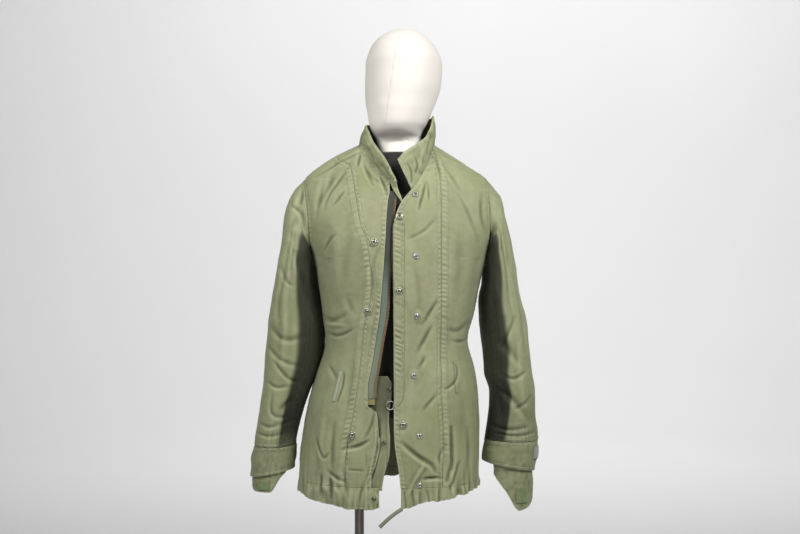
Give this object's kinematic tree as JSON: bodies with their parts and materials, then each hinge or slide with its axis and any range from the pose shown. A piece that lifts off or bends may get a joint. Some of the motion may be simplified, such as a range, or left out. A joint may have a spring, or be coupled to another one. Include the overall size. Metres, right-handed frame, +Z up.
{
  "type": "field jacket on a limbless dress form",
  "caption": "Open zip-front field jacket with stand collar, princess seams, gathered hem and hand flaps, on a limbless egg-head dress form with one pole and a round base.",
  "frame": {"origin": "centre of the base plate's underside, on the pole's axis", "axes": "+Z up along the pole; the jacket's front faces -Y; +X is the wearer's left"},
  "size_m": [0.5864, 0.42, 1.7825],
  "materials": {
    "sage_cloth": "worn cotton sateen with a low sheen",
    "zip_tape": "woven tape",
    "pad_green": "hook-and-loop pile",
    "pad_grey": "hook-and-loop pile",
    "snap_metal": "green lacquered snaps, worn",
    "bright_metal": "nickel plated, dulled",
    "brass": "dull",
    "cord_green": "braided cord",
    "cream_cover": "smooth stretched cover",
    "black_cover": "black jersey cover",
    "pole_metal": "bare steel tube",
    "base_metal": "satin grey"
  },
  "bodies": {
    "garment_and_form": {"front_right": "sage_cloth", "front_left": "sage_cloth", "side_front_right": "sage_cloth", "side_front_left": "sage_cloth", "back": "sage_cloth", "collar": "sage_cloth", "sleeve_upper_right": "sage_cloth", "sleeve_upper_left": "sage_cloth", "sleeve_under_right": "sage_cloth", "sleeve_under_left": "sage_cloth", "cuff_right": "sage_cloth", "cuff_left": "sage_cloth", "hand_flap_right": "sage_cloth", "hand_flap_left": "sage_cloth", "placket": "sage_cloth", "underlap": "sage_cloth", "hem_casing_right": "sage_cloth", "hem_casing_left": "sage_cloth", "hem_casing_back": "sage_cloth", "pocket_welt_left": "sage_cloth", "pocket_zip_right": "zip_tape", "zip_tape_right": "zip_tape", "zip_tape_left": "zip_tape", "flap_pad_right": "pad_green", "flap_pad_left": "pad_green", "cuff_tab_left": "pad_grey", "snap_cap_right_1": "snap_metal", "snap_cap_right_2": "snap_metal", "snap_cap_right_3": "snap_metal", "snap_cap_left_1": "snap_metal", "snap_cap_left_2": "snap_metal", "snap_cap_left_3": "snap_metal", "snap_stud_right_1": "snap_metal", "snap_stud_right_2": "snap_metal", "snap_stud_right_3": "snap_metal", "snap_ring_left_1": "bright_metal", "snap_ring_left_2": "bright_metal", "snap_ring_left_3": "bright_metal", "snap_ring_left_4": "bright_metal", "snap_ring_left_5": "bright_metal", "snap_ring_left_6": "bright_metal", "zip_slider": "bright_metal", "zip_top_stop": "bright_metal", "zip_box": "brass", "hem_drawcord": "cord_green", "form_head": "cream_cover", "form_torso": "black_cover", "form_pole": "pole_metal", "form_base": "base_metal"},
    "zip_pull": {"zip_pull_ring": "bright_metal"}
  },
  "joints": [
    {"name": "zip_pull_swing", "type": "hinge", "parent": "garment_and_form", "child": "zip_pull", "pos_m": [0.0725, -0.11982, 1.029], "axis": [0, 0, 1], "range_deg": [-4.5, 34.5]}
  ]
}
